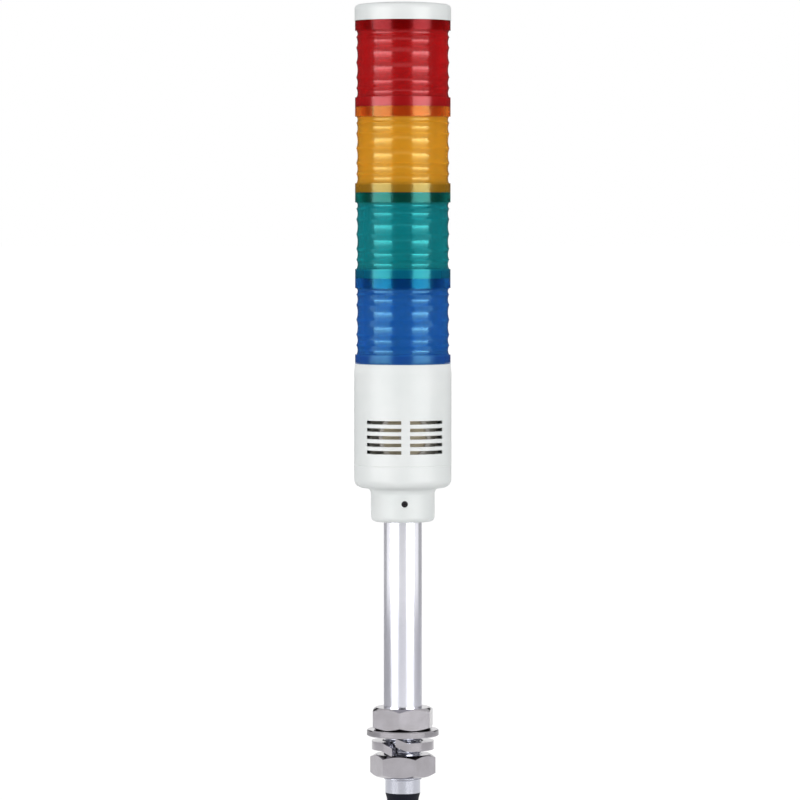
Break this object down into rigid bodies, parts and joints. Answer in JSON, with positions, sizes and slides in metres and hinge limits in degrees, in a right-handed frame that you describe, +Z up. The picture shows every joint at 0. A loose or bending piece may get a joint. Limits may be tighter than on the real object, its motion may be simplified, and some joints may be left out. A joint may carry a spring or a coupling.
{
  "type": "stack light",
  "caption": "Slim signal tower: coloured ribbed lens tiers over a buzzer housing with sound slots, on a round pole with a threaded stem, nuts and washers.",
  "frame": {"origin": "centre of the pole's lower end face, on the tower's axis", "axes": "+Z up along the pole and tower, -Y towards the sound slots and set screw"},
  "size_m": [0.0458, 0.0458, 0.3814],
  "materials": {
    "white_plastic": "smooth satin moulding",
    "pole_metal": "satin drawn tube",
    "plated_steel": "nickel plated, slightly dull",
    "dark_steel": "blackened",
    "black_rubber": "matt",
    "lens_red": "clear tinted, glossy",
    "lens_amber": "clear tinted, glossy",
    "lens_green": "clear tinted, glossy",
    "lens_blue": "clear tinted, glossy",
    "diffuser_plastic": "frosted",
    "carrier_plastic": "plain moulding",
    "lamp_board": "white solder mask",
    "led_package": "moulded lamp body",
    "circuit_board": "green solder mask",
    "sounder_case": "dark moulding",
    "brass_disc": "thin disc",
    "terminal_plastic": "green moulding"
  },
  "bodies": {
    "base": {"pole": "pole_metal", "upper_nut": "plated_steel", "cable_bush": "black_rubber", "base_holder": "white_plastic", "set_screw": "dark_steel", "buzzer_housing": "white_plastic", "driver_board": "circuit_board", "sounder": "sounder_case", "sounder_diaphragm": "brass_disc", "terminal_block": "terminal_plastic", "contact_plate": "white_plastic"},
    "lock_washers": {"flat_washer": "plated_steel", "spring_washer": "plated_steel"},
    "lock_nut": {"lower_nut": "plated_steel"},
    "tier_blue": {"lens_blue": "lens_blue", "gasket_blue": "black_rubber", "carrier_blue": "carrier_plastic", "diffuser_blue": "diffuser_plastic", "lamp_board_blue": "lamp_board", "leds_blue": "led_package"},
    "tier_green": {"lens_green": "lens_green", "gasket_green": "black_rubber", "carrier_green": "carrier_plastic", "diffuser_green": "diffuser_plastic", "lamp_board_green": "lamp_board", "leds_green": "led_package"},
    "tier_amber": {"lens_amber": "lens_amber", "gasket_amber": "black_rubber", "carrier_amber": "carrier_plastic", "diffuser_amber": "diffuser_plastic", "lamp_board_amber": "lamp_board", "leds_amber": "led_package"},
    "tier_red": {"lens_red": "lens_red", "gasket_red": "black_rubber", "carrier_red": "carrier_plastic", "diffuser_red": "diffuser_plastic", "lamp_board_red": "lamp_board", "leds_red": "led_package"},
    "cap": {"cap": "white_plastic", "gasket_cap": "black_rubber"}
  },
  "joints": [
    {"name": "lock_travel", "type": "slide", "parent": "base", "child": "lock_washers", "axis": [0, 0, 1], "range_m": [-0.006, 0]},
    {"name": "lock_nut_spin", "type": "hinge", "parent": "lock_washers", "child": "lock_nut", "pos_m": [0, 0, 0.01305], "axis": [0, 0, 1], "range_deg": [-1440, 0]},
    {"name": "twist_blue", "type": "hinge", "parent": "base", "child": "tier_blue", "pos_m": [0, 0, 0.2029], "axis": [0, 0, 1], "range_deg": [0, 30]},
    {"name": "twist_green", "type": "hinge", "parent": "tier_blue", "child": "tier_green", "pos_m": [0, 0, 0.2432], "axis": [0, 0, 1], "range_deg": [0, 30]},
    {"name": "twist_amber", "type": "hinge", "parent": "tier_green", "child": "tier_amber", "pos_m": [0, 0, 0.2835], "axis": [0, 0, 1], "range_deg": [0, 30]},
    {"name": "twist_red", "type": "hinge", "parent": "tier_amber", "child": "tier_red", "pos_m": [0, 0, 0.3238], "axis": [0, 0, 1], "range_deg": [0, 30]},
    {"name": "twist_cap", "type": "hinge", "parent": "tier_red", "child": "cap", "pos_m": [0, 0, 0.3641], "axis": [0, 0, 1], "range_deg": [0, 30]}
  ],
  "couplings": [
    {"joint": "lock_travel", "follows": "lock_nut_spin", "m_per_rad": 0.0002387}
  ]
}
